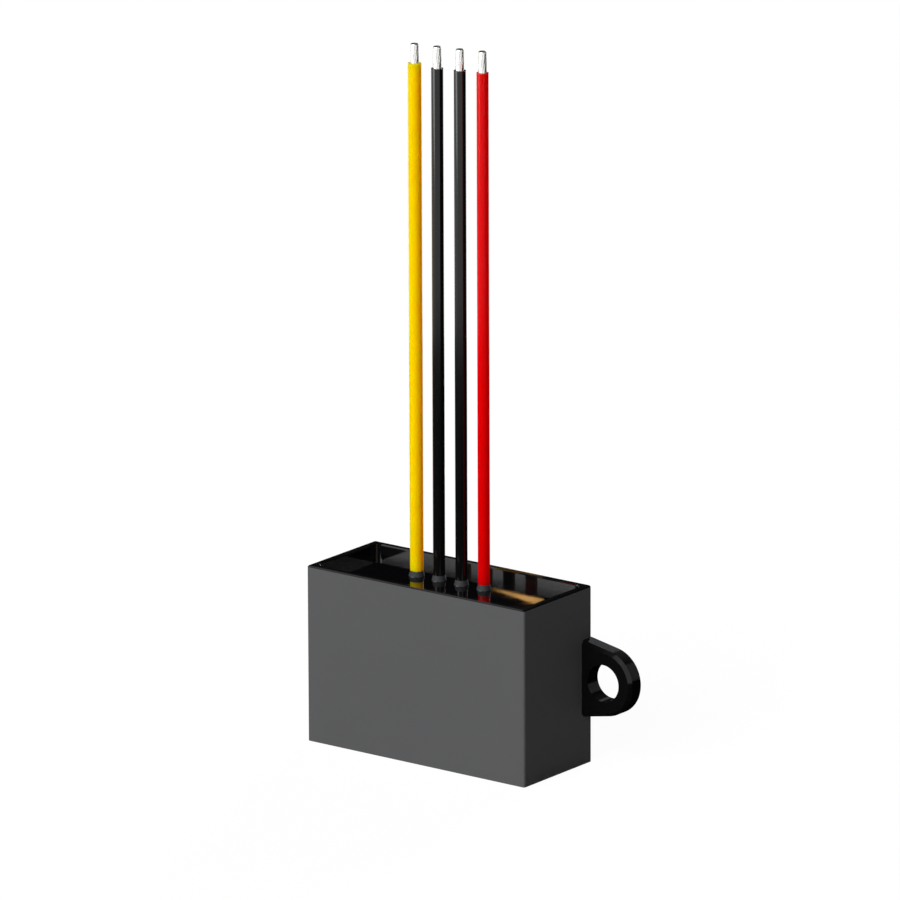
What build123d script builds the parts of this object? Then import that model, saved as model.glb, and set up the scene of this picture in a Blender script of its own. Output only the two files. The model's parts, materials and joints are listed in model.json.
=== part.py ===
from build123d import *
import math
import os

# Case: a deep moulded tub, open at the top
case_width = 46.0
case_depth = 19.0
case_height = 31.0
case_wall = 1.3
case_floor = 1.5
case_corner_radius = 0.4
case_rim_chamfer = 0.2
pocket_corner_radius = 1.2

# Mounting ears, moulded with the case and flush with its back face
ear_thickness = 2.9
ear_root_height = 13.5
ear_end_radius = 5.8
ear_edge_chamfer = 0.55
ear_hole_diameter = 6.5
ear_hole_reach = 4.5
ear_hole_height = 15.2

# Potting resin, filled to just below the rim
fill_recess = 1.75
collar_height = 0.95
collar_width = 0.28

# Leads: one row of four, standing straight up out of the resin
lead_pitch = 4.75
lead_row_x = -0.8
lead_row_y = 1.5
lead_burial = 3.75
conductor_diameter = 1.4
strand_end_chamfer = 0.12
lead_diameters = {"yellow": 2.3, "black_left": 2.05, "black_right": 2.05, "red": 2.05}
sleeve_lengths = {"yellow": 93.1, "black_left": 92.9, "black_right": 93.2, "red": 93.5}
bare_tip_lengths = {"yellow": 3.4, "black_left": 3.8, "black_right": 3.7, "red": 3.7}

# Solder joints: each strand lies flat on a pad at the board's upper edge
solder_width = 3.2
solder_length = 3.5
solder_cover = 0.25
solder_edge_gap = 0.5
solder_end_cover = 0.4

# Circuit board, on edge in the tub
board_side_gap = 0.7
board_thickness = 1.6
board_lead_gap = 1.0

# Inductor: a drum core on the board's front face, wound with one visible layer
core_diameter = 12.0
core_hub_diameter = 6.4
core_flange = 1.2
wire_diameter = 1.3
winding_turns = 3
winding_diameter = 10.6
inductor_height_on_board = 8.5

# Electrolytic capacitors: a can crimped onto a square base
can_diameter = 8.0
can_height = 6.4
can_groove_height = 1.3
can_groove_depth = 0.35
can_groove_width = 0.8
can_base_side = 8.3
can_base_thickness = 1.2
can_base_chamfer = 1.6
capacitor_height_on_board = 8.5

# Ceramic capacitors and resistors: a block between two end caps
ceramic_length = 3.2
ceramic_width = 2.5
ceramic_height = 1.8
ceramic_edge_gap = 0.85
ceramic_heights_on_board = (5.5, 11.5)
sense_length = 6.3
sense_width = 3.2
sense_height = 0.7
sense_height_on_board = 4.0
feedback_length = 1.6
feedback_width = 0.9
feedback_height = 0.5
feedback_pitch = 2.4
feedback_count = 3
feedback_height_on_board = 18.5
end_cap_length = 0.45
end_cap_lip = 0.06

# Power switches: flat packages in pairs on the board's rear face
switch_width = 5.0
switch_length = 5.8
switch_height = 1.0
switch_edge_gap = 3.5
switch_pitch = 6.6
switch_height_on_board = 8.5
switch_tab_width = 0.5
switch_tab_reach = 0.3
switch_tab_thickness = 0.25
switch_tab_pitch = 1.27
switch_tab_count = 4

# Controller: a small chip with a row of legs along each side
chip_width = 4.4
chip_length = 5.0
chip_height = 1.0
chip_standoff = 0.12
chip_height_on_board = 12.0
leg_count = 7
leg_pitch = 0.6
leg_width = 0.25
leg_thickness = 0.16
leg_reach = 1.0
leg_foot = 0.55
leg_exit_height = 0.55

# Levels and faces that follow from the sizes above
back_face = case_depth / 2
pocket_width = case_width - 2 * case_wall
pocket_depth = case_depth - 2 * case_wall
fill_level = case_height - fill_recess
insulation_start = fill_level - lead_burial
board_top = insulation_start - board_lead_gap
board_height = board_top - case_floor
board_width = pocket_width - 2 * board_side_gap
board_front = lead_row_y + conductor_diameter / 2
board_back = board_front + board_thickness
solder_top = board_top - solder_edge_gap
conductor_start = solder_top - solder_length + solder_end_cover
ceramic_offset = board_width / 2 - ceramic_edge_gap - ceramic_width / 2
capacitor_offset = (core_diameter / 2 + ceramic_offset - ceramic_width / 2) / 2
outer_switch_offset = board_width / 2 - switch_edge_gap - switch_width / 2
inner_switch_offset = outer_switch_offset - switch_pitch
hole_offset = case_width / 2 + ear_hole_reach
leg_toe = chip_width / 2 + leg_reach
leg_knee = leg_toe - leg_foot
collar_slope = math.degrees(math.atan(collar_width / collar_height))
lead_names = list(lead_diameters)
lead_places = {
    name: lead_row_x + (index - (len(lead_names) - 1) / 2) * lead_pitch
    for index, name in enumerate(lead_names)
}


def front_of_board(x, height):
    """Plane on the board's front face, its normal towards the front of the case."""
    return Plane(origin=(x, board_front, case_floor + height), x_dir=(1, 0, 0), z_dir=(0, -1, 0))


def rear_of_board(x, height):
    """Plane on the board's rear face, its normal towards the back of the case."""
    return Plane(origin=(x, board_back, case_floor + height), x_dir=(-1, 0, 0), z_dir=(0, 1, 0))


def axial_section(base):
    """Plane through the axis of a round piece on the board: x is radius, y is height."""
    return Plane(origin=base.origin, x_dir=base.x_dir, z_dir=-base.y_dir)


def save(piece, name):
    """Label a finished piece and write it as its own file."""
    piece.label = name
    export_step(piece, f"parts/{name}.step")


def insulation(name):
    """Sleeve of one lead, from inside the resin to where the strand is stripped."""
    with BuildPart() as sleeve:
        with BuildSketch(Plane.XY.offset(insulation_start)):
            with Locations((lead_places[name], lead_row_y)):
                Circle(lead_diameters[name] / 2)
                Circle(conductor_diameter / 2, mode=Mode.SUBTRACT)
        extrude(amount=sleeve_lengths[name])
    return sleeve.part


def conductor(name):
    """Tinned strand of one lead, from its pad on the board to its bare tip."""
    conductor_end = insulation_start + sleeve_lengths[name] + bare_tip_lengths[name]
    with BuildPart() as strand:
        with BuildSketch(Plane.XY.offset(conductor_start)):
            with Locations((lead_places[name], lead_row_y)):
                Circle(conductor_diameter / 2)
        extrude(amount=conductor_end - conductor_start)
        chamfer(strand.edges().sort_by(Axis.Z)[-1], strand_end_chamfer)
    return strand.part


def solder_joint(name, strand):
    """Rounded bead of solder that covers the strand's end on its pad."""
    crest = conductor_diameter + solder_cover
    with BuildPart() as bead:
        with BuildSketch(Plane((lead_places[name], board_front, solder_top - solder_length))):
            with BuildLine():
                ThreePointArc((-solder_width / 2, 0), (0, -crest), (solder_width / 2, 0))
                Line((solder_width / 2, 0), (-solder_width / 2, 0))
            make_face()
        extrude(amount=solder_length)
        add(strand, mode=Mode.SUBTRACT)
    return bead.part


def capacitor_base(base):
    """Square plastic base of a capacitor, two corners cut off to mark its polarity."""
    with BuildPart() as plate:
        with BuildSketch(base) as outline:
            Rectangle(can_base_side, can_base_side)
            chamfer(outline.vertices().group_by(Axis.Z)[-1], can_base_chamfer)
        extrude(amount=can_base_thickness)
    return plate.part


def capacitor_can(base):
    """Aluminium can with a crimp groove near its base."""
    radius = can_diameter / 2
    foot = can_base_thickness
    top = foot + can_height
    groove = foot + can_groove_height
    with BuildPart() as can:
        with BuildSketch(axial_section(base)):
            with BuildLine():
                Polyline(
                    (0, foot),
                    (radius, foot),
                    (radius, groove),
                    (radius - can_groove_depth, groove + can_groove_width / 2),
                    (radius, groove + can_groove_width),
                    (radius, top),
                    (0, top),
                    close=True,
                )
            make_face()
        revolve(axis=Axis(base.origin, base.z_dir))
    return can.part


def end_capped_block(base, length, width, height):
    """Chip capacitor or resistor: a block with a slightly larger metal cap at each end."""
    with BuildPart() as block:
        with BuildSketch(base):
            Rectangle(width - 2 * end_cap_lip, length)
        extrude(amount=height - end_cap_lip)
        with BuildSketch(base):
            with GridLocations(0, length - end_cap_length, 1, 2):
                Rectangle(width, end_cap_length)
        extrude(amount=height)
    return block.part


def power_switch(base):
    """Flat power package with a row of short tabs at one end and a wide tab at the other."""
    tab_span = (switch_tab_count - 1) * switch_tab_pitch + switch_tab_width
    overall = switch_length + 2 * switch_tab_reach
    with BuildPart() as package:
        with BuildSketch(base):
            with GridLocations(switch_tab_pitch, 0, switch_tab_count, 1):
                with Locations((0, -overall / 4)):
                    Rectangle(switch_tab_width, overall / 2)
            with Locations((0, overall / 4)):
                Rectangle(tab_span, overall / 2)
        extrude(amount=switch_tab_thickness)
        with BuildSketch(base):
            Rectangle(switch_width, switch_length)
        extrude(amount=switch_height)
    return package.part


# Case: ear plate across the back, the tub in front of it, then the pocket and the holes
with BuildPart() as case:
    ear_plane = Plane(origin=(0, back_face, ear_hole_height), x_dir=(1, 0, 0), z_dir=(0, -1, 0))
    with BuildSketch(ear_plane):
        Rectangle(case_width, ear_root_height)
        with GridLocations(2 * hole_offset, 0, 2, 1):
            Circle(ear_end_radius)
        make_hull()
    extrude(amount=ear_thickness)
    chamfer(case.faces().sort_by(Axis.Y)[0].edges(), ear_edge_chamfer)
    with BuildSketch():
        RectangleRounded(case_width, case_depth, case_corner_radius)
    extrude(amount=case_height)
    with BuildSketch(Plane.XY.offset(case_floor)):
        RectangleRounded(pocket_width, pocket_depth, pocket_corner_radius)
    extrude(amount=case_height - case_floor, mode=Mode.SUBTRACT)
    chamfer(case.faces().sort_by(Axis.Z)[-1].edges(), case_rim_chamfer)
    with BuildSketch(ear_plane):
        with GridLocations(2 * hole_offset, 0, 2, 1):
            Circle(ear_hole_diameter / 2)
    extrude(amount=ear_thickness, mode=Mode.SUBTRACT)

# Circuit board: stands on the floor of the tub, just behind the strands
with BuildPart() as circuit_board:
    with BuildSketch(Plane.XY.offset(case_floor)):
        with Locations((0, board_front + board_thickness / 2)):
            Rectangle(board_width, board_thickness)
    extrude(amount=board_height)

# Inductor: two flanges on a hub, with the turns of thick wire between them
inductor_base = front_of_board(0, inductor_height_on_board)
window_height = winding_turns * wire_diameter
core_height = window_height + 2 * core_flange
with BuildPart() as inductor_core:
    with BuildSketch(axial_section(inductor_base)):
        with Locations((0, core_height / 2)):
            Rectangle(core_hub_diameter / 2, core_height, align=(Align.MIN, Align.CENTER))
            with GridLocations(0, core_height - core_flange, 1, 2):
                Rectangle(core_diameter / 2, core_flange, align=(Align.MIN, Align.CENTER))
    revolve(axis=Axis(inductor_base.origin, inductor_base.z_dir))

with BuildPart() as inductor_winding:
    wound_depth = (winding_diameter - core_hub_diameter) / 2
    turn_reach = wire_diameter / 3**0.5
    with BuildSketch(axial_section(inductor_base)):
        with Locations((core_hub_diameter / 2, core_height / 2)):
            Rectangle(wound_depth - turn_reach, window_height, align=(Align.MIN, Align.CENTER))
        with Locations((winding_diameter / 2 - turn_reach, core_height / 2)):
            with GridLocations(0, wire_diameter, 1, winding_turns):
                RegularPolygon(wire_diameter / 2, 6, major_radius=False)
    revolve(axis=Axis(inductor_base.origin, inductor_base.z_dir))

# Controller: body on a small stand-off, legs bent down to the board along both sides
chip_base = rear_of_board(0, chip_height_on_board)
with BuildPart() as controller_chip:
    with BuildSketch(chip_base.offset(chip_standoff)):
        Rectangle(chip_width, chip_length)
    extrude(amount=chip_height)
    for index in range(leg_count):
        row_place = (index - (leg_count - 1) / 2) * leg_pitch
        leg_origin = chip_base.origin + chip_base.y_dir * row_place
        with BuildSketch(Plane(origin=leg_origin, x_dir=chip_base.x_dir, z_dir=-chip_base.y_dir)):
            with BuildLine():
                Polyline(
                    (0, leg_exit_height + leg_thickness),
                    (leg_knee + leg_thickness, leg_exit_height + leg_thickness),
                    (leg_knee + leg_thickness, leg_thickness),
                    (leg_toe, leg_thickness),
                    (leg_toe, 0),
                    (leg_knee, 0),
                    (leg_knee, leg_exit_height),
                    (0, leg_exit_height),
                    close=True,
                )
            make_face()
            mirror(about=Plane.YZ)
        extrude(amount=leg_width / 2, both=True)

# Small parts on the board
sense_resistor = end_capped_block(
    rear_of_board(0, sense_height_on_board), sense_length, sense_width, sense_height
)
board_pieces = {
    "circuit_board": circuit_board.part,
    "inductor_core": inductor_core.part,
    "inductor_winding": inductor_winding.part,
    "controller_chip": controller_chip.part,
    "sense_resistor": sense_resistor,
}
for name, side in (("output", -1), ("input", 1)):
    capacitor_plane = front_of_board(side * capacitor_offset, capacitor_height_on_board)
    board_pieces[f"{name}_capacitor_base"] = capacitor_base(capacitor_plane)
    board_pieces[f"{name}_capacitor_can"] = capacitor_can(capacitor_plane)

ceramic_places = [
    (side * ceramic_offset, height) for side in (-1, 1) for height in ceramic_heights_on_board
]
for index, (x, height) in enumerate(ceramic_places, start=1):
    board_pieces[f"ceramic_capacitor_{index}"] = end_capped_block(
        front_of_board(x, height), ceramic_length, ceramic_width, ceramic_height
    )

switch_places = (-outer_switch_offset, -inner_switch_offset, inner_switch_offset, outer_switch_offset)
for index, x in enumerate(switch_places, start=1):
    board_pieces[f"power_switch_{index}"] = power_switch(rear_of_board(x, switch_height_on_board))

for index in range(feedback_count):
    feedback_place = (index - (feedback_count - 1) / 2) * feedback_pitch
    board_pieces[f"feedback_resistor_{index + 1}"] = end_capped_block(
        rear_of_board(feedback_place, feedback_height_on_board),
        feedback_length, feedback_width, feedback_height
    )

# Leads with their solder joints
lead_pieces = {}
for name in lead_names:
    strand = conductor(name)
    lead_pieces[f"lead_{name}_insulation"] = insulation(name)
    lead_pieces[f"lead_{name}_conductor"] = strand
    lead_pieces[f"solder_joint_{name}"] = solder_joint(name, strand)

# Resin: fills the tub round everything on the board, and climbs a little way up each lead
with BuildPart() as potting_compound:
    with BuildSketch(Plane.XY.offset(case_floor)):
        RectangleRounded(pocket_width, pocket_depth, pocket_corner_radius)
    extrude(amount=fill_level - case_floor)
    for name in lead_names:
        with BuildSketch(Plane((lead_places[name], lead_row_y, fill_level))):
            Circle(lead_diameters[name] / 2 + collar_width)
        extrude(amount=collar_height, taper=collar_slope)
    for piece in [*board_pieces.values(), *lead_pieces.values()]:
        add(piece, mode=Mode.SUBTRACT)

os.makedirs("parts", exist_ok=True)
save(case.part, "case")
save(potting_compound.part, "potting_compound")
for name, piece in {**board_pieces, **lead_pieces}.items():
    save(piece, name)
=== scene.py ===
import json
import math

import bpy
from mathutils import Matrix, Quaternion, Vector


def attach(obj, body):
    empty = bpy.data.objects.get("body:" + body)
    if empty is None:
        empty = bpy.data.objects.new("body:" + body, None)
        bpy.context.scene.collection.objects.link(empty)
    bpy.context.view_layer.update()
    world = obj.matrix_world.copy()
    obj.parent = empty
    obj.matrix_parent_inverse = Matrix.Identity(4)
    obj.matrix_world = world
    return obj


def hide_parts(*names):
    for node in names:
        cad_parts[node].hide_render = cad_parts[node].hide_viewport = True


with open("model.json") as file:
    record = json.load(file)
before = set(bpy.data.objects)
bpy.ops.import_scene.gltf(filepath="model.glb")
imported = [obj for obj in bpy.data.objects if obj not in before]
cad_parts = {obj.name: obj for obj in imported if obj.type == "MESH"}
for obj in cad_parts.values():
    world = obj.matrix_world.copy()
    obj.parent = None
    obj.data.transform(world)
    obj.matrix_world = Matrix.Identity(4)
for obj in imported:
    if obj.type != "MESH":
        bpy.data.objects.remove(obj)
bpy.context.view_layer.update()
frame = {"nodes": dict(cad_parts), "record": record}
print("frame loaded,", len(frame["nodes"]), "nodes")


# Small helpers for objects

def deselectAll():
    if bpy.context.object and bpy.context.object.mode != "OBJECT":
        bpy.ops.object.mode_set(mode="OBJECT")
    bpy.ops.object.select_all(action="DESELECT")


def settle(thing):
    # leaves the object at the origin, with its place in its mesh
    deselectAll()
    thing.select_set(True)
    bpy.context.view_layer.objects.active = thing
    bpy.ops.object.transform_apply(location=True, rotation=True, scale=True)


def finishWith(thing, material):
    thing.data.materials.clear()
    thing.data.materials.append(material)


def directionAt(azimuth, elevation):
    # azimuth 0 is the front and 90 the right-hand side
    side, rise = math.radians(azimuth), math.radians(elevation)
    return Vector((
        math.sin(side) * math.cos(rise), -math.cos(side) * math.cos(rise), math.sin(rise)
    ))


# Small helpers for node trees

def addNode(tree, kind, x, y, **settings):
    node = tree.nodes.new(kind)
    node.location = (x, y)
    for name, value in settings.items():
        setattr(node, name, value)
    return node


def addMath(tree, operation, x, y, first, second=None):
    node = addNode(tree, "ShaderNodeMath", x, y, operation=operation)
    for socket, value in zip(node.inputs, (first, second)):
        if isinstance(value, (int, float)):
            socket.default_value = value
        elif value is not None:
            tree.links.new(value, socket)
    return node.outputs["Value"]


def mixColours(tree, x, y, factor, colourA, colourB):
    node = addNode(tree, "ShaderNodeMix", x, y, data_type="RGBA")
    tree.links.new(factor, node.inputs["Factor"])
    for socket, value in ((node.inputs["A"], colourA), (node.inputs["B"], colourB)):
        if isinstance(value, tuple):
            socket.default_value = (*value, 1)
        else:
            tree.links.new(value, socket)
    return node.outputs["Result"]


def remap(tree, x, y, value, low, high, fromLow=0.0, fromHigh=1.0):
    node = addNode(tree, "ShaderNodeMapRange", x, y)
    node.inputs["From Min"].default_value = fromLow
    node.inputs["From Max"].default_value = fromHigh
    node.inputs["To Min"].default_value = low
    node.inputs["To Max"].default_value = high
    tree.links.new(value, node.inputs["Value"])
    return node.outputs["Result"]


def objectAxes(tree, x, y):
    place = addNode(tree, "ShaderNodeTexCoord", x - 200, y)
    axes = addNode(tree, "ShaderNodeSeparateXYZ", x, y)
    tree.links.new(place.outputs["Object"], axes.inputs["Vector"])
    return axes.outputs


def startMaterial(name, **sockets):
    material = bpy.data.materials.new(name)
    material.use_nodes = True
    tree = material.node_tree
    shader = tree.nodes["Principled BSDF"]
    shader.location = (600, 0)
    tree.nodes["Material Output"].location = (900, 0)
    for socket, value in sockets.items():
        shader.inputs[socket.replace("_", " ")].default_value = value
    return material, tree, shader


def coverSurface(tree, shader, colour, roughness, height, depth):
    # what every finish gives its shader, with the depth of the relief in metres
    bump = addNode(tree, "ShaderNodeBump", 400, -250)
    bump.inputs["Distance"].default_value = depth
    tree.links.new(colour, shader.inputs["Base Color"])
    tree.links.new(roughness, shader.inputs["Roughness"])
    tree.links.new(height, bump.inputs["Height"])
    tree.links.new(bump.outputs["Normal"], shader.inputs["Normal"])


def startGroup(name, inputs, outputs):
    group = bpy.data.node_groups.new(name, "ShaderNodeTree")
    for label, value in inputs.items():
        socket = group.interface.new_socket(
            label, in_out="INPUT", socket_type="NodeSocketFloat"
        )
        socket.default_value = value
    for label in outputs:
        group.interface.new_socket(label, in_out="OUTPUT", socket_type="NodeSocketFloat")
    return (
        group,
        addNode(group, "NodeGroupInput", -900, 0),
        addNode(group, "NodeGroupOutput", 600, 0),
    )


def placeGroup(tree, group, x, y, **values):
    node = addNode(tree, "ShaderNodeGroup", x, y, node_tree=group)
    for label, value in values.items():
        node.inputs[label.replace("_", " ")].default_value = value
    return node


# Fine grain, with a slow mottle under it. The sizes are in metres.

grainPattern = {
    "sizes": {"Grain Size": 0.0002, "Mottle Size": 0.004},    # unless a material gives its own
    "detail": {"Grain": 3, "Mottle": 2},
}


def makeGrainGroup(look):
    group, entry, result = startGroup("surfaceGrain", look["sizes"], look["detail"])
    place = addNode(group, "ShaderNodeTexCoord", -900, -250)
    for row, (label, detail) in enumerate(look["detail"].items()):
        y = 150 - 300 * row
        scale = addMath(group, "DIVIDE", -600, y, 1.0, entry.outputs[label + " Size"])
        noise = addNode(group, "ShaderNodeTexNoise", -300, y)
        noise.inputs["Detail"].default_value = detail
        group.links.new(place.outputs["Object"], noise.inputs["Vector"])
        group.links.new(scale, noise.inputs["Scale"])
        group.links.new(noise.outputs["Fac"], result.inputs[label])
    return group


# Smears left by handling: long, faint and uneven

smearPattern = {
    "sizes": {"Smear Size": 0.006},
    "rotation": (0.3, 0.5, 0.8),
    "stretch": (1.0, 0.35, 0.8),
    "detail": 4,
    "distortion": 0.8,
    "cleanBelow": 0.45,           # where the noise is lower there is no smear
    "fullAbove": 0.72,            # and where it is higher, a full one
}


def makeSmearGroup(look):
    group, entry, result = startGroup("handlingSmears", look["sizes"], ("Smear",))
    place = addNode(group, "ShaderNodeTexCoord", -900, -250)
    turned = addNode(group, "ShaderNodeMapping", -600, -250)
    turned.inputs["Rotation"].default_value = look["rotation"]
    turned.inputs["Scale"].default_value = look["stretch"]
    scale = addMath(group, "DIVIDE", -600, 100, 1.0, entry.outputs["Smear Size"])
    noise = addNode(group, "ShaderNodeTexNoise", -300, 0)
    noise.inputs["Detail"].default_value = look["detail"]
    noise.inputs["Distortion"].default_value = look["distortion"]
    group.links.new(place.outputs["Object"], turned.inputs["Vector"])
    group.links.new(turned.outputs["Vector"], noise.inputs["Vector"])
    group.links.new(scale, noise.inputs["Scale"])
    smear = remap(
        group, 200, 0, noise.outputs["Fac"], 0.0, 1.0, look["cleanBelow"], look["fullAbove"]
    )
    group.links.new(smear, result.inputs["Smear"])
    return group


surfaceGrain = makeGrainGroup(grainPattern)
handlingSmears = makeSmearGroup(smearPattern)


# Case: one black moulding, finely textured outside, smooth on its ears, its rim and inside

caseFinish = {
    "texturedColour": (0.088, 0.089, 0.091),
    "texturedDark": (0.082, 0.083, 0.085),
    "smoothColour": (0.0032, 0.0032, 0.0036),
    "texturedRoughness": (0.58, 0.66),      # lowest and highest
    "smoothRoughness": (0.15, 0.21),        # clean and smeared
    "shine": 0.12,
    "insideGloss": 0.90,          # coat weight on the pocket's walls
    "outsideGloss": 0.35,         # the same on the ears and the rim
    "glossRoughness": 0.05,
    "grainSize": 0.00022,
    "grainDepth": 0.000012,
    "mottleSize": 0.012,
    "smearSize": 0.009,
    "earStart": 0.02302,          # just past half the case's width
    "rimStart": 0.03075,
    "pocketHalf": (0.0219, 0.0084),
    "undersideTop": 0.001,        # below this it is the underside, which is textured
}


def findSmoothFaces(tree, look):
    # two masks: 1 in the pocket, and 1 wherever the moulding is smooth
    axes = objectAxes(tree, -1300, 300)
    across = addMath(tree, "ABSOLUTE", -1100, 450, axes["X"])
    along = addMath(tree, "ABSOLUTE", -1100, 300, axes["Y"])
    insideX = addMath(tree, "LESS_THAN", -900, 450, across, look["pocketHalf"][0])
    insideY = addMath(tree, "LESS_THAN", -900, 300, along, look["pocketHalf"][1])
    aboveBase = addMath(tree, "GREATER_THAN", -900, 600, axes["Z"], look["undersideTop"])
    inside = addMath(tree, "MULTIPLY", -700, 450, insideX, insideY)
    inside = addMath(tree, "MULTIPLY", -500, 500, inside, aboveBase)
    ear = addMath(tree, "GREATER_THAN", -700, 300, across, look["earStart"])
    rim = addMath(tree, "GREATER_THAN", -700, 600, axes["Z"], look["rimStart"])
    smooth = addMath(tree, "MAXIMUM", -300, 450, inside, ear)
    smooth = addMath(tree, "MAXIMUM", -100, 500, smooth, rim)
    return inside, smooth


def makeCaseMaterial(look):
    material, tree, shader = startMaterial(
        "mouldedBlackPlastic",
        Specular_IOR_Level=look["shine"], Coat_Roughness=look["glossRoughness"],
    )
    grain = placeGroup(
        tree, surfaceGrain, -900, 0,
        Grain_Size=look["grainSize"], Mottle_Size=look["mottleSize"],
    )
    smear = placeGroup(tree, handlingSmears, -900, -250, Smear_Size=look["smearSize"])
    inside, smooth = findSmoothFaces(tree, look)
    textured = mixColours(
        tree, -500, 150, grain.outputs["Mottle"], look["texturedDark"], look["texturedColour"]
    )
    colour = mixColours(tree, 100, 300, smooth, textured, look["smoothColour"])
    # polished steel leaves a gloss on the smooth faces, deepest inside
    gloss = remap(tree, 100, 550, inside, look["outsideGloss"], look["insideGloss"])
    gloss = addMath(tree, "MULTIPLY", 300, 500, smooth, gloss)
    tree.links.new(gloss, shader.inputs["Coat Weight"])
    matt = remap(tree, -500, -100, grain.outputs["Mottle"], *look["texturedRoughness"])
    satin = remap(tree, -500, -350, smear.outputs["Smear"], *look["smoothRoughness"])
    roughness = addNode(tree, "ShaderNodeMix", 100, 0)
    tree.links.new(smooth, roughness.inputs["Factor"])
    tree.links.new(matt, roughness.inputs["A"])
    tree.links.new(satin, roughness.inputs["B"])
    # the relief stops where the smooth faces start
    rough = addMath(tree, "SUBTRACT", 100, -250, 1.0, smooth)
    height = addMath(tree, "MULTIPLY", 250, -250, grain.outputs["Grain"], rough)
    coverSurface(tree, shader, colour, roughness.outputs["Result"], height, look["grainDepth"])
    return material


# Resin: black, poured and self-levelled, glossy with the faintest waves

resinFinish = {
    "colour": (0.0016, 0.0016, 0.0022),
    "paleColour": (0.0030, 0.0030, 0.0038),
    "roughness": (0.03, 0.07),    # clean and smeared
    "waveSize": 0.007,
    "waveDepth": 0.000005,
    "mottleSize": 0.021,
    "smearSize": 0.005,
    "collarStart": 0.02930,       # above this it has climbed a lead and has set dull, and its lighter colour there is painted light
    # painted light: a colour lighter than the resin's, standing in for the light that the
    # collars' sloped sides catch
    "collarLitColour": (0.0115, 0.0130, 0.0155),
    "collarRoughness": 0.75,
}


def makeResinMaterial(look):
    material, tree, shader = startMaterial("pottingResin")
    grain = placeGroup(
        tree, surfaceGrain, -600, 0,
        Grain_Size=look["waveSize"], Mottle_Size=look["mottleSize"],
    )
    smear = placeGroup(tree, handlingSmears, -600, -250, Smear_Size=look["smearSize"])
    axes = objectAxes(tree, -600, 450)
    collar = addMath(tree, "GREATER_THAN", -400, 450, axes["Z"], look["collarStart"])
    poured = mixColours(
        tree, -200, 200, grain.outputs["Mottle"], look["colour"], look["paleColour"]
    )
    # the collars get a dull finish and a lighter colour, which is painted light
    colour = mixColours(tree, 100, 300, collar, poured, look["collarLitColour"])
    glossy = remap(tree, -200, -50, smear.outputs["Smear"], *look["roughness"])
    dull = addMath(tree, "MULTIPLY", 0, 50, collar, look["collarRoughness"])
    roughness = addMath(tree, "MAXIMUM", 200, 50, glossy, dull)
    coverSurface(tree, shader, colour, roughness, grain.outputs["Grain"], look["waveDepth"])
    return material


# Lead sleeves: extruded PVC, with faint draw lines along the wire

sleeveFinish = {
    "roughness": (0.08, 0.18),    # lowest and highest
    "grainSize": 0.0004,
    "mottleSize": 0.006,
    "scatterShare": 1.0,          # how much of the colour is light that has been inside the PVC
    "lineSize": 0.00028,
    "lineStretch": (1.0, 1.0, 0.02),        # lines run up the wire
    "lineDetail": 2,
    "lineDepth": 0.000006,
}
sleeveColours = {
    # the colour, its darker mottle, how much it shines and how far light travels in it, in metres
    "yellow_insulation": (
        (0.97, 0.595, 0.001), (0.94, 0.555, 0.001), 0.02, (0.0040, 0.0016, 0.00002)
    ),
    "black_insulation": (
        (0.0034, 0.0034, 0.0036), (0.0026, 0.0026, 0.0028), 0.42, None
    ),
    "red_insulation": (
        (0.62, 0.001, 0.003), (0.57, 0.001, 0.002), 0.10, (0.0040, 0.00002, 0.00002)
    ),
}


def makeSleeveMaterial(name, colour, shade, shine, scatter, look):
    material, tree, shader = startMaterial(name, Specular_IOR_Level=shine)
    if scatter:
        shader.inputs["Subsurface Weight"].default_value = look["scatterShare"]
        shader.inputs["Subsurface Scale"].default_value = 1.0     # the distances are in metres
        shader.inputs["Subsurface Radius"].default_value = scatter
    grain = placeGroup(
        tree, surfaceGrain, -600, 150,
        Grain_Size=look["grainSize"], Mottle_Size=look["mottleSize"],
    )
    place = addNode(tree, "ShaderNodeTexCoord", -1000, -200)
    drawn = addNode(tree, "ShaderNodeMapping", -800, -200)
    drawn.inputs["Scale"].default_value = look["lineStretch"]
    tree.links.new(place.outputs["Object"], drawn.inputs["Vector"])
    lines = addNode(tree, "ShaderNodeTexNoise", -600, -200)
    lines.inputs["Scale"].default_value = 1 / look["lineSize"]
    lines.inputs["Detail"].default_value = look["lineDetail"]
    tree.links.new(drawn.outputs["Vector"], lines.inputs["Vector"])
    mottled = mixColours(tree, -200, 200, grain.outputs["Mottle"], shade, colour)
    roughness = remap(tree, -200, 0, grain.outputs["Grain"], *look["roughness"])
    coverSurface(tree, shader, mottled, roughness, lines.outputs["Fac"], look["lineDepth"])
    return material


# Bare metals: tinned copper, solder, enamelled copper and the aluminium cans

metalFinishes = {
    # the colour, its duller shade, and the lowest and highest roughness
    "tinned_copper": ((0.90, 0.89, 0.87), (0.78, 0.77, 0.75), (0.18, 0.32)),
    "solder": ((0.72, 0.72, 0.71), (0.60, 0.60, 0.59), (0.26, 0.40)),
    "enamelled_copper": ((0.52, 0.17, 0.06), (0.38, 0.11, 0.04), (0.16, 0.30)),
    "capacitor_can": ((0.74, 0.75, 0.76), (0.64, 0.65, 0.66), (0.32, 0.46)),
}
metalGrain = {
    "grainSize": 0.00012,
    "mottleSize": 0.0012,
    "depth": 0.000004,
}


def makeMetalMaterial(name, colour, shade, roughness, look):
    material, tree, shader = startMaterial(name, Metallic=1.0)
    grain = placeGroup(
        tree, surfaceGrain, -600, 0,
        Grain_Size=look["grainSize"], Mottle_Size=look["mottleSize"],
    )
    mottled = mixColours(tree, -200, 200, grain.outputs["Mottle"], shade, colour)
    varied = remap(tree, -200, 0, grain.outputs["Grain"], *roughness)
    coverSurface(tree, shader, mottled, varied, grain.outputs["Grain"], look["depth"])
    return material


# What the resin hides: board, ferrite, chips

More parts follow.
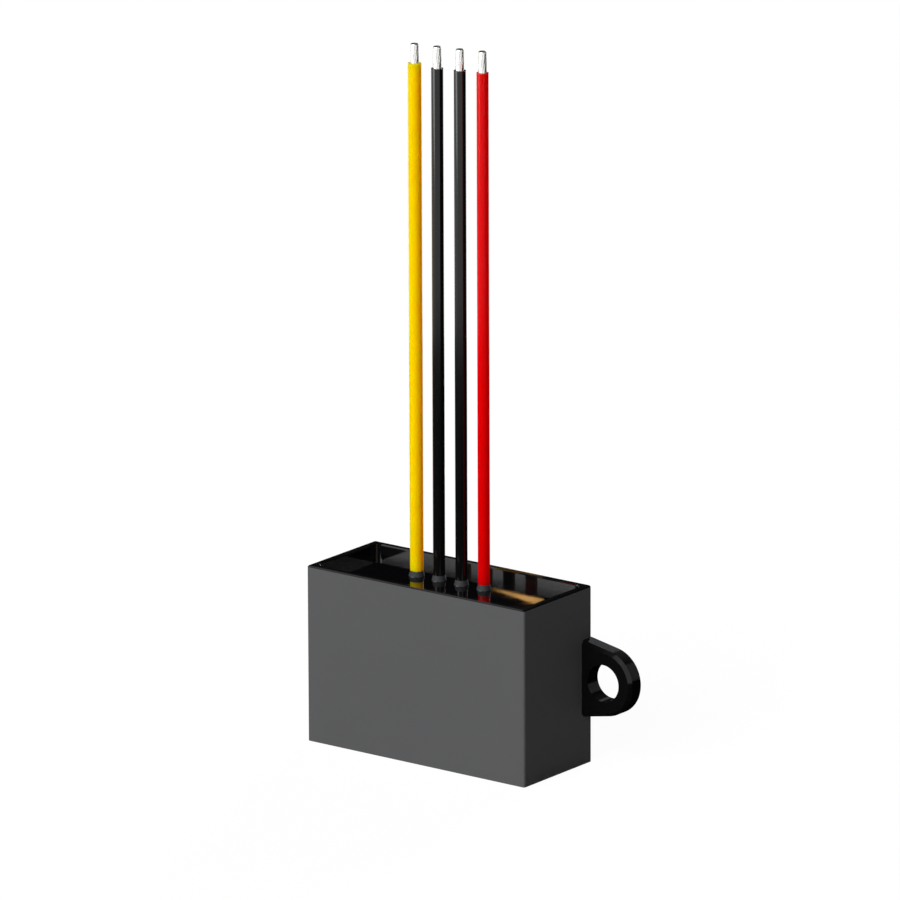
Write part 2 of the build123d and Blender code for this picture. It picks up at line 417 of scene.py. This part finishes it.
buriedFinishes = {
    # the colour, its other shade, the lowest and highest roughness, and the grain's size
    "board_laminate": ((0.012, 0.085, 0.035), (0.020, 0.125, 0.050), (0.28, 0.40), 0.0016),
    "ferrite": ((0.030, 0.030, 0.032), (0.055, 0.054, 0.052), (0.72, 0.84), 0.0003),
    "chip_plastic": ((0.016, 0.016, 0.017), (0.026, 0.026, 0.027), (0.52, 0.64), 0.0002),
    "ceramic_chip": ((0.42, 0.31, 0.21), (0.50, 0.39, 0.28), (0.40, 0.52), 0.0003),
    "capacitor_base": ((0.014, 0.014, 0.014), (0.022, 0.022, 0.022), (0.44, 0.56), 0.0003),
}
buriedGrain = {
    "mottleShare": 8,             # the mottle's size over the grain's
    "depth": 0.00001,
}


def makeBuriedMaterial(name, colour, shade, roughness, size, look):
    material, tree, shader = startMaterial(name)
    grain = placeGroup(
        tree, surfaceGrain, -600, 0, Grain_Size=size, Mottle_Size=size * look["mottleShare"]
    )
    grained = mixColours(tree, -200, 200, grain.outputs["Grain"], shade, colour)
    varied = remap(tree, -200, 0, grain.outputs["Mottle"], *roughness)
    coverSurface(tree, shader, grained, varied, grain.outputs["Grain"], look["depth"])
    return material


finishes = {
    "case_plastic": makeCaseMaterial(caseFinish),
    "potting_resin": makeResinMaterial(resinFinish),
}
for makeMaterial, rows, look in (
    (makeSleeveMaterial, sleeveColours, sleeveFinish),
    (makeMetalMaterial, metalFinishes, metalGrain),
    (makeBuriedMaterial, buriedFinishes, buriedGrain),
):
    for slotName, row in rows.items():
        finishes[slotName] = makeMaterial(slotName, *row, look)

for part in frame["record"]["subparts"]:
    finishWith(frame["nodes"][part["node"]], finishes[part["material_slot"]])
print("materials placed on the carried-over nodes")


# Leads: four sleeves straight up out of the resin, each round a tinned strand

leadRow = {
    "y": 0.0015,
    "resinLevel": 0.02925,
    "routeHeights": (0.0255, 0.0390, 0.0600, 0.0850, 0.1050),     # the first is in the resin
}
leads = {
    # stripped is the height at which the sleeve ends, and bare the strand's length past it
    "lead_yellow": {"x": -0.007925, "diameter": 0.0023, "stripped": 0.1186, "bare": 0.0034,
                    "slot": "yellow_insulation"},
    "lead_black_left": {"x": -0.003175, "diameter": 0.00205, "stripped": 0.1184, "bare": 0.0038,
                        "slot": "black_insulation"},
    "lead_black_right": {"x": 0.001575, "diameter": 0.00205, "stripped": 0.1187, "bare": 0.0037,
                         "slot": "black_insulation"},
    "lead_red": {"x": 0.006325, "diameter": 0.00205, "stripped": 0.1190, "bare": 0.0037,
                 "slot": "red_insulation"},
}
sleeveCurve = {
    "order": 3,
    "stepsAlong": 8,
    "stepsRound": 12,
}
strandShape = {
    "radius": 0.0007,
    "start": 0.0209,              # on its pad, in the resin
    "coreShare": 0.93,            # how much of the radius it has in its sleeve
    "overlap": 0.0006,            # how far down its sleeve the bare shape starts
    "strands": 10,                # round the outside of the bundle
    "pointsPerStrand": 8,
    "grooveDepth": 0.05,          # shallow, because the tin has filled them
    "crestPower": 0.7,            # below 1 the crests are broad and the grooves narrow
    "steps": 18,
    "turnPerStep": math.radians(3.0),
    "flare": 0.07,                # how much wider it is where it leaves its sleeve
    "dippedEnd": 0.00022,
    # for each ring of the dipped end, its share of the height and its size over the last one's
    "dippedSteps": ((0.45, 0.97), (0.35, 0.90), (0.20, 0.70)),
    "smoothAngle": math.radians(40),
}


def laySleeve(name, lead, curve):
    deselectAll()
    bpy.ops.curve.primitive_nurbs_path_add(location=(0, 0, 0))
    sleeve = bpy.context.object
    sleeve.name = name + "_sleeve"
    spline = sleeve.data.splines[0]
    heights = (*leadRow["routeHeights"], lead["stripped"])
    spline.points.add(len(heights) - len(spline.points))
    for point, height in zip(spline.points, heights):
        point.co = (lead["x"], leadRow["y"], height, 1)
    spline.order_u = curve["order"]
    spline.use_endpoint_u = True
    sleeve.data.dimensions = "3D"
    sleeve.data.resolution_u = curve["stepsAlong"]
    sleeve.data.bevel_depth = lead["diameter"] / 2
    sleeve.data.bevel_resolution = curve["stepsRound"]
    sleeve.data.use_fill_caps = True
    finishWith(sleeve, finishes[lead["slot"]])
    return sleeve


def drawUp(height):
    bpy.ops.mesh.extrude_region_move(TRANSFORM_OT_translate={"value": (0, 0, height)})


def shapeBarePart(strand, centre, bareStart, rise, shape):
    # full on each crest, in at each groove, and turned a little more at each ring
    for vertex in strand.data.vertices:
        if vertex.co.z < bareStart - rise / 2:
            continue
        ring = (vertex.co.z - bareStart) / rise
        away = Vector((vertex.co.x - centre.x, vertex.co.y - centre.y))
        angle = math.atan2(away.y, away.x)
        crest = abs(math.cos(angle * shape["strands"] / 2)) ** shape["crestPower"]
        flare = 1 + shape["flare"] * (1 - ring / shape["steps"])
        radius = shape["radius"] * flare * (1 - shape["grooveDepth"] * (1 - crest))
        turned = angle + ring * shape["turnPerStep"]
        vertex.co.x = centre.x + radius * math.cos(turned)
        vertex.co.y = centre.y + radius * math.sin(turned)


def twistStrand(name, lead, shape):
    # a ring of fused strands, drawn up from its pad through the sleeve, and rounded at the end
    deselectAll()
    bareStart = lead["stripped"] - shape["overlap"]
    top = lead["stripped"] + lead["bare"]
    rise = (top - shape["dippedEnd"] - bareStart) / shape["steps"]
    centre = Vector((lead["x"], leadRow["y"], shape["start"]))
    bpy.ops.mesh.primitive_circle_add(
        vertices=shape["strands"] * shape["pointsPerStrand"],
        radius=shape["radius"] * shape["coreShare"],
        location=centre,
    )
    strand = bpy.context.object
    strand.name = name + "_strand"
    settle(strand)
    bpy.ops.object.mode_set(mode="EDIT")
    bpy.ops.mesh.select_all(action="SELECT")
    drawUp(bareStart - shape["start"])
    for step in range(shape["steps"]):
        drawUp(rise)
    bpy.ops.object.mode_set(mode="OBJECT")
    shapeBarePart(strand, centre, bareStart, rise, shape)
    bpy.ops.object.mode_set(mode="EDIT")
    for share, size in shape["dippedSteps"]:
        drawUp(shape["dippedEnd"] * share)
        bpy.ops.transform.resize(
            value=(size, size, 1), center_override=(centre.x, centre.y, top)
        )
    bpy.ops.mesh.edge_face_add()
    bpy.ops.mesh.select_all(action="SELECT")
    bpy.ops.mesh.normals_make_consistent(inside=False)
    bpy.ops.object.mode_set(mode="OBJECT")
    bpy.ops.object.shade_smooth_by_angle(angle=shape["smoothAngle"])
    finishWith(strand, finishes["tinned_copper"])
    return strand


for name, lead in leads.items():
    sleeve = laySleeve(name, lead, sleeveCurve)
    strand = twistStrand(name, lead, strandShape)
    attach(sleeve, "root")
    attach(strand, "root")
    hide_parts(name + "_insulation")
    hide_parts(name + "_conductor")
print("leads laid:", len(leads))


# Stage: a pale floor that fades into a white background

stageLook = {
    "floorSize": 9.0,
    "floorColour": (0.50, 0.50, 0.50),
    "floorGlow": 0.86,            # how far the floor is lifted towards white for the camera
    "fadeFrom": 0.8,              # from here on the floor fades into the background
    "fadeTo": 2.0,
    "ambient": 0.045,             # how strongly the background lights the object
    "background": 1.11,           # and how bright it looks
}


def makeSeenFactor(tree, x, y):
    # 1 for rays that show the background: camera, glossy and transmission
    rays = addNode(tree, "ShaderNodeLightPath", x, y).outputs
    seen = addMath(tree, "MAXIMUM", x + 200, y, rays["Is Camera Ray"], rays["Is Glossy Ray"])
    return addMath(tree, "MAXIMUM", x + 400, y, seen, rays["Is Transmission Ray"])


def addFloor(look):
    deselectAll()
    bpy.ops.mesh.primitive_plane_add(size=look["floorSize"], location=(0, 0, 0))
    floor = bpy.context.object
    floor.name = "floor"
    material = bpy.data.materials.new("paleFloor")
    material.use_nodes = True
    tree = material.node_tree
    tree.nodes.clear()
    output = addNode(tree, "ShaderNodeOutputMaterial", 600, 0)
    diffuse = addNode(tree, "ShaderNodeBsdfDiffuse", 0, -150)
    diffuse.inputs["Color"].default_value = (*look["floorColour"], 1)
    glow = addNode(tree, "ShaderNodeEmission", 0, 100)
    glow.inputs["Strength"].default_value = look["background"]
    place = addNode(tree, "ShaderNodeTexCoord", -900, 500)
    away = addNode(tree, "ShaderNodeVectorMath", -700, 500, operation="LENGTH")
    tree.links.new(place.outputs["Object"], away.inputs[0])
    lift = remap(
        tree, -500, 500, away.outputs["Value"],
        look["floorGlow"], 1.0, look["fadeFrom"], look["fadeTo"],
    )
    share = addMath(tree, "MULTIPLY", 100, 300, makeSeenFactor(tree, -600, 300), lift)
    mix = addNode(tree, "ShaderNodeMixShader", 350, 0)
    tree.links.new(share, mix.inputs[0])
    tree.links.new(diffuse.outputs["BSDF"], mix.inputs[1])
    tree.links.new(glow.outputs["Emission"], mix.inputs[2])
    tree.links.new(mix.outputs["Shader"], output.inputs["Surface"])
    finishWith(floor, material)


def addWorld(look):
    world = bpy.data.worlds.new("studio")
    bpy.context.scene.world = world
    world.use_nodes = True
    tree = world.node_tree
    background = tree.nodes["Background"]
    background.inputs["Color"].default_value = (1, 1, 1, 1)
    strength = remap(
        tree, -300, 0, makeSeenFactor(tree, -1000, 0), look["ambient"], look["background"]
    )
    tree.links.new(strength, background.inputs["Strength"])


# Lamps: a big soft one in front, a small one at the left, and one behind for the back

lamps = {
    "keyLamp": {"azimuth": 1, "elevation": 30, "distance": 3.0, "size": 2.0, "power": 94},
    "sideLamp": {"azimuth": -40, "elevation": 17, "distance": 2.0, "size": 0.8, "power": 8},
    "backLamp": {"azimuth": 192, "elevation": 12, "distance": 3.0, "size": 1.0, "power": 82},
}


def addLamp(name, look):
    towards = directionAt(look["azimuth"], look["elevation"])
    deselectAll()
    bpy.ops.object.light_add(type="AREA", location=towards * look["distance"])
    lamp = bpy.context.object
    lamp.name = name
    lamp.rotation_euler = towards.to_track_quat("Z", "Y").to_euler()
    lamp.data.shape = "SQUARE"
    lamp.data.size = look["size"]
    lamp.data.energy = look["power"]
    lamp.visible_camera = False


# Cards round the object, on the table and overhead, which only reflections show

cardColours = {
    "black": (0.004, 0.004, 0.005),
    "grey": (0.40, 0.41, 0.43),
}
cardLights = {
    # the light's colour and its strength
    "white": ((1.0, 1.0, 1.0), 4.6),
    "tan": ((1.0, 0.50, 0.10), 2.0),
}
cardSegments = 72
wallCards = {
    # lowest and highest edge, then the azimuths from which and to which it runs
    "ringCard": {"colour": "black", "radius": 1.10, "low": 0.16, "high": 0.50,
                 "start": 64, "end": 398},           # open where the ear's front edge looks
    "curtainCard": {"colour": "black", "radius": 1.10, "low": 0.50, "high": 1.20,
                    "start": 100, "end": 260},
    "rightCard": {"colour": "grey", "radius": 1.05, "low": 0.01, "high": 0.68,
                  "start": 125, "end": 157},
    "leftCard": {"colour": "grey", "radius": 1.05, "low": 0.46, "high": 0.76,
                 "start": 200, "end": 222},
    # this one closes the bright gap under the ring, which the pocket's corner would mirror
    "lowRearCard": {"colour": "black", "radius": 1.08, "low": 0.0, "high": 0.18,
                    "start": 80, "end": 235},
}
flatCards = {
    "ceilingCard": {"colour": "black", "place": (0, 0.45, 1.20), "radius": 1.10},
    "tableCard": {"colour": "black", "place": (0, 0, 0.0002), "radius": 0.27},
    "rearTableCard": {"colour": "black", "place": (0.36, 0.30, 0.0003), "radius": 0.36},
}
smallCards = {
    # corners, going round
    "stripCard": {
        # it shows in the pocket's back wall, and ends just where it would show in the resin too
        "colour": "white",
        "corners": ((-0.20, -0.15, 0.060), (-0.04, -0.15, 0.060),
                    (-0.04, -0.15, 0.0871), (-0.20, -0.15, 0.0871)),
    },
    "tanCard": {
        # low behind the case, where the resin shows it but the rim doesn't
        "colour": "tan",
        "corners": ((-0.01526, 0.03206, 0.040), (-0.00372, 0.02906, 0.040),
                    (-0.00372, 0.03215, 0.040), (-0.01526, 0.03215, 0.040)),
    },
}


def showInReflectionsOnly(card, material):
    finishWith(card, material)
    card.visible_camera = False
    card.visible_diffuse = False
    card.visible_transmission = False
    card.visible_shadow = False


def addWallCard(name, card, material):
    # a tube, of which only the faces between the two azimuths stay
    deselectAll()
    bpy.ops.mesh.primitive_cylinder_add(
        vertices=cardSegments, radius=card["radius"], depth=card["high"] - card["low"],
        end_fill_type="NOTHING", location=(0, 0, (card["low"] + card["high"]) / 2),
    )
    wall = bpy.context.object
    wall.name = name
    settle(wall)
    bpy.ops.object.mode_set(mode="EDIT")
    bpy.ops.mesh.select_all(action="DESELECT")
    bpy.ops.object.mode_set(mode="OBJECT")
    for face in wall.data.polygons:
        azimuth = math.degrees(math.atan2(face.center.x, -face.center.y))
        face.select = (azimuth - card["start"]) % 360 > card["end"] - card["start"]
    bpy.ops.object.mode_set(mode="EDIT")
    bpy.ops.mesh.delete(type="FACE")
    bpy.ops.object.mode_set(mode="OBJECT")
    showInReflectionsOnly(wall, material)


def addFlatCard(name, card, material):
    deselectAll()
    bpy.ops.mesh.primitive_circle_add(
        vertices=cardSegments, radius=card["radius"], fill_type="NGON", location=card["place"],
    )
    flat = bpy.context.object
    flat.name = name
    settle(flat)
    showInReflectionsOnly(flat, material)


def addSmallCard(name, card, material):
    deselectAll()
    bpy.ops.mesh.primitive_plane_add(size=1)
    small = bpy.context.object
    small.name = name
    # the plane's corners come in rows, and the card's go round
    for vertex, corner in zip(small.data.vertices, (0, 1, 3, 2)):
        vertex.co = card["corners"][corner]
    showInReflectionsOnly(small, material)


def addCards():
    materials = {}
    for name, colour in cardColours.items():
        materials[name] = startMaterial(
            name + "Card", Base_Color=(*colour, 1), Roughness=1.0, Specular_IOR_Level=0.0
        )[0]
    for name, (colour, strength) in cardLights.items():
        materials[name] = startMaterial(
            name + "Card", Emission_Color=(*colour, 1), Emission_Strength=strength
        )[0]
    for addCard, cards in (
        (addWallCard, wallCards), (addFlatCard, flatCards), (addSmallCard, smallCards)
    ):
        for name, card in cards.items():
            addCard(name, card, materials[card["colour"]])


addFloor(stageLook)
addWorld(stageLook)
for name, look in lamps.items():
    addLamp(name, look)
addCards()
print("stage set")


# Camera: the photograph's angle, from far off with a long lens

cameraSetup = {
    "azimuth": 37.2,
    "elevation": 16.6,
    "roll": -0.21,
    "distance": 2.0,
    "target": (0, 0, 0.0155),
    "aimRise": 0.0361,            # how far above the target the picture's middle lies
    "aimSide": 0.00016,
    "lens": 472.4,
    "sensorWidth": 36,
    "nearest": 0.05,
    "furthest": 50,
}


def addCamera(look):
    back = directionAt(look["azimuth"], look["elevation"])
    roll = Quaternion((0, 0, 1), math.radians(look["roll"]))
    turn = back.to_track_quat("Z", "Y") @ roll
    target = Vector(look["target"])
    place = target + back * look["distance"]
    aim = target + turn @ Vector((look["aimSide"], look["aimRise"], 0))
    deselectAll()
    bpy.ops.object.camera_add(location=place)
    camera = bpy.context.object
    camera.name = "camera"
    camera.rotation_euler = ((place - aim).to_track_quat("Z", "Y") @ roll).to_euler()
    camera.data.sensor_width = look["sensorWidth"]
    camera.data.lens = look["lens"]
    camera.data.clip_start = look["nearest"]
    camera.data.clip_end = look["furthest"]
    bpy.context.scene.camera = camera


addCamera(cameraSetup)
bpy.context.scene.view_settings.view_transform = "Standard"
print("camera placed")
